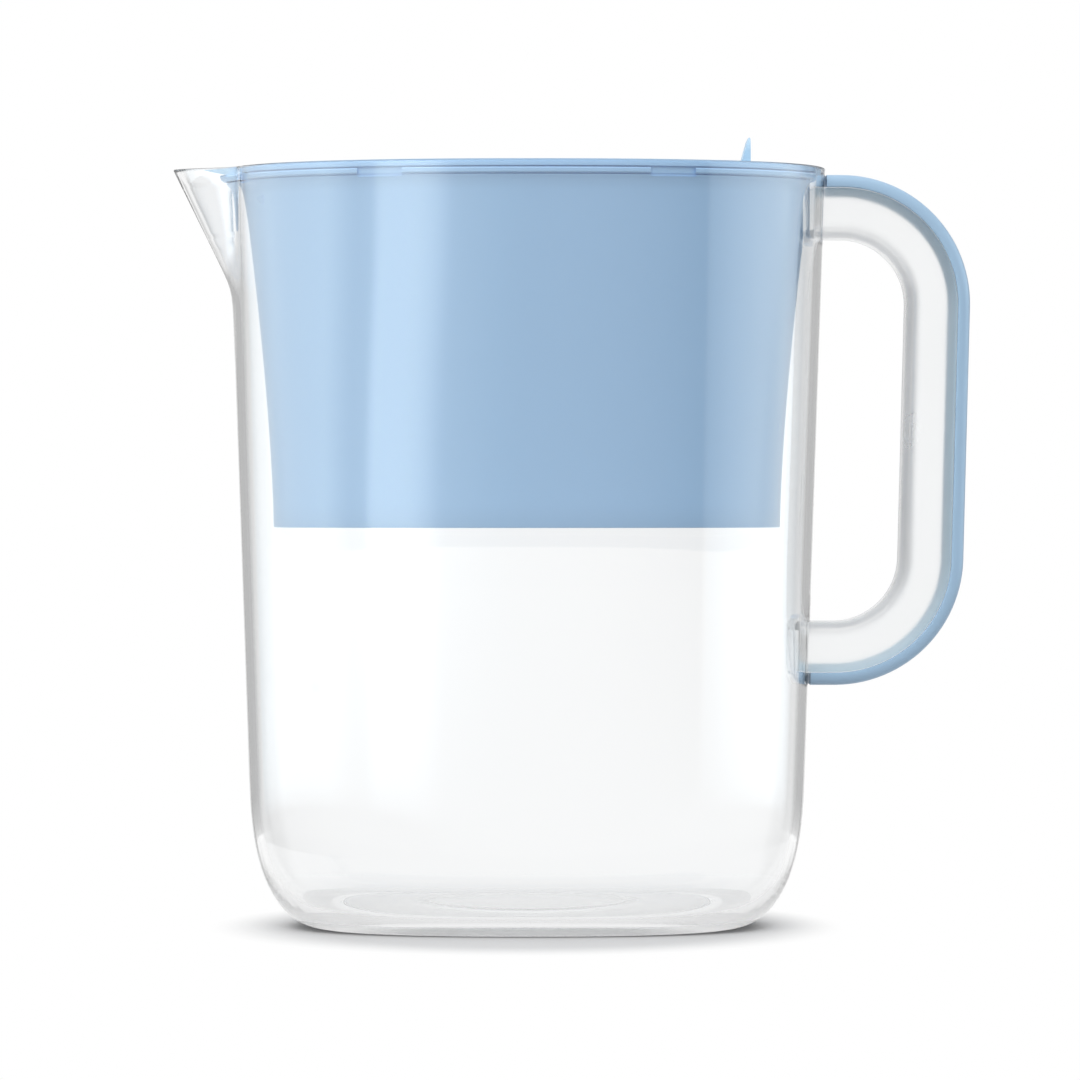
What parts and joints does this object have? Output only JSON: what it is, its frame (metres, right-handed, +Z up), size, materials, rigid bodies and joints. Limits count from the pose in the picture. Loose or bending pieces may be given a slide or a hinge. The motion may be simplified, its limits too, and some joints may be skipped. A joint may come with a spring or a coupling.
{
  "type": "water filter pitcher",
  "caption": "Clear filter pitcher with a spout, a bow handle with a coloured grip, a lift-out reservoir, a drop-in filter and a lid with a hinged fill door.",
  "frame": {"origin": "centre of the foot on the resting plane, on the vertical axis of the body", "axes": "+X runs from the spout towards the handle, +Z is up out of the pitcher, and +Y completes the frame across its width"},
  "size_m": [0.2671, 0.1412, 0.2644],
  "materials": {
    "clear_plastic": "clear gloss",
    "grip_plastic": "satin",
    "blue_plastic": "satin",
    "lid_plastic": "satin",
    "rod_steel": "drawn",
    "filter_plastic": "moulded",
    "filter_cap_plastic": "moulded",
    "seal_rubber": "matt",
    "filter_granules": "granular",
    "screen_mesh": "woven mesh"
  },
  "bodies": {
    "pitcher": {"pitcher_body": "clear_plastic", "handle_shell": "clear_plastic", "handle_grip": "grip_plastic"},
    "reservoir": {"reservoir": "blue_plastic"},
    "lid": {"lid_frame": "lid_plastic", "hinge_rod": "rod_steel"},
    "door": {"flip_door": "lid_plastic"},
    "filter": {"filter_housing": "filter_plastic", "filter_cap": "filter_cap_plastic", "filter_seal": "seal_rubber", "filter_media": "filter_granules", "filter_top_screen": "screen_mesh", "filter_bottom_screen": "screen_mesh"}
  },
  "joints": [
    {"name": "reservoir_lift", "type": "slide", "parent": "pitcher", "child": "reservoir", "axis": [0, 0, 1], "range_m": [0, 0.13]},
    {"name": "lid_lift", "type": "slide", "parent": "reservoir", "child": "lid", "axis": [0, 0, 1], "range_m": [0, 0.05]},
    {"name": "door_hinge", "type": "hinge", "parent": "lid", "child": "door", "pos_m": [-0.014, 0, 0.251], "axis": [0, -1, 0], "range_deg": [0, 100]},
    {"name": "filter_lift", "type": "slide", "parent": "reservoir", "child": "filter", "axis": [0, 0, 1], "range_m": [0, 0.026]}
  ]
}
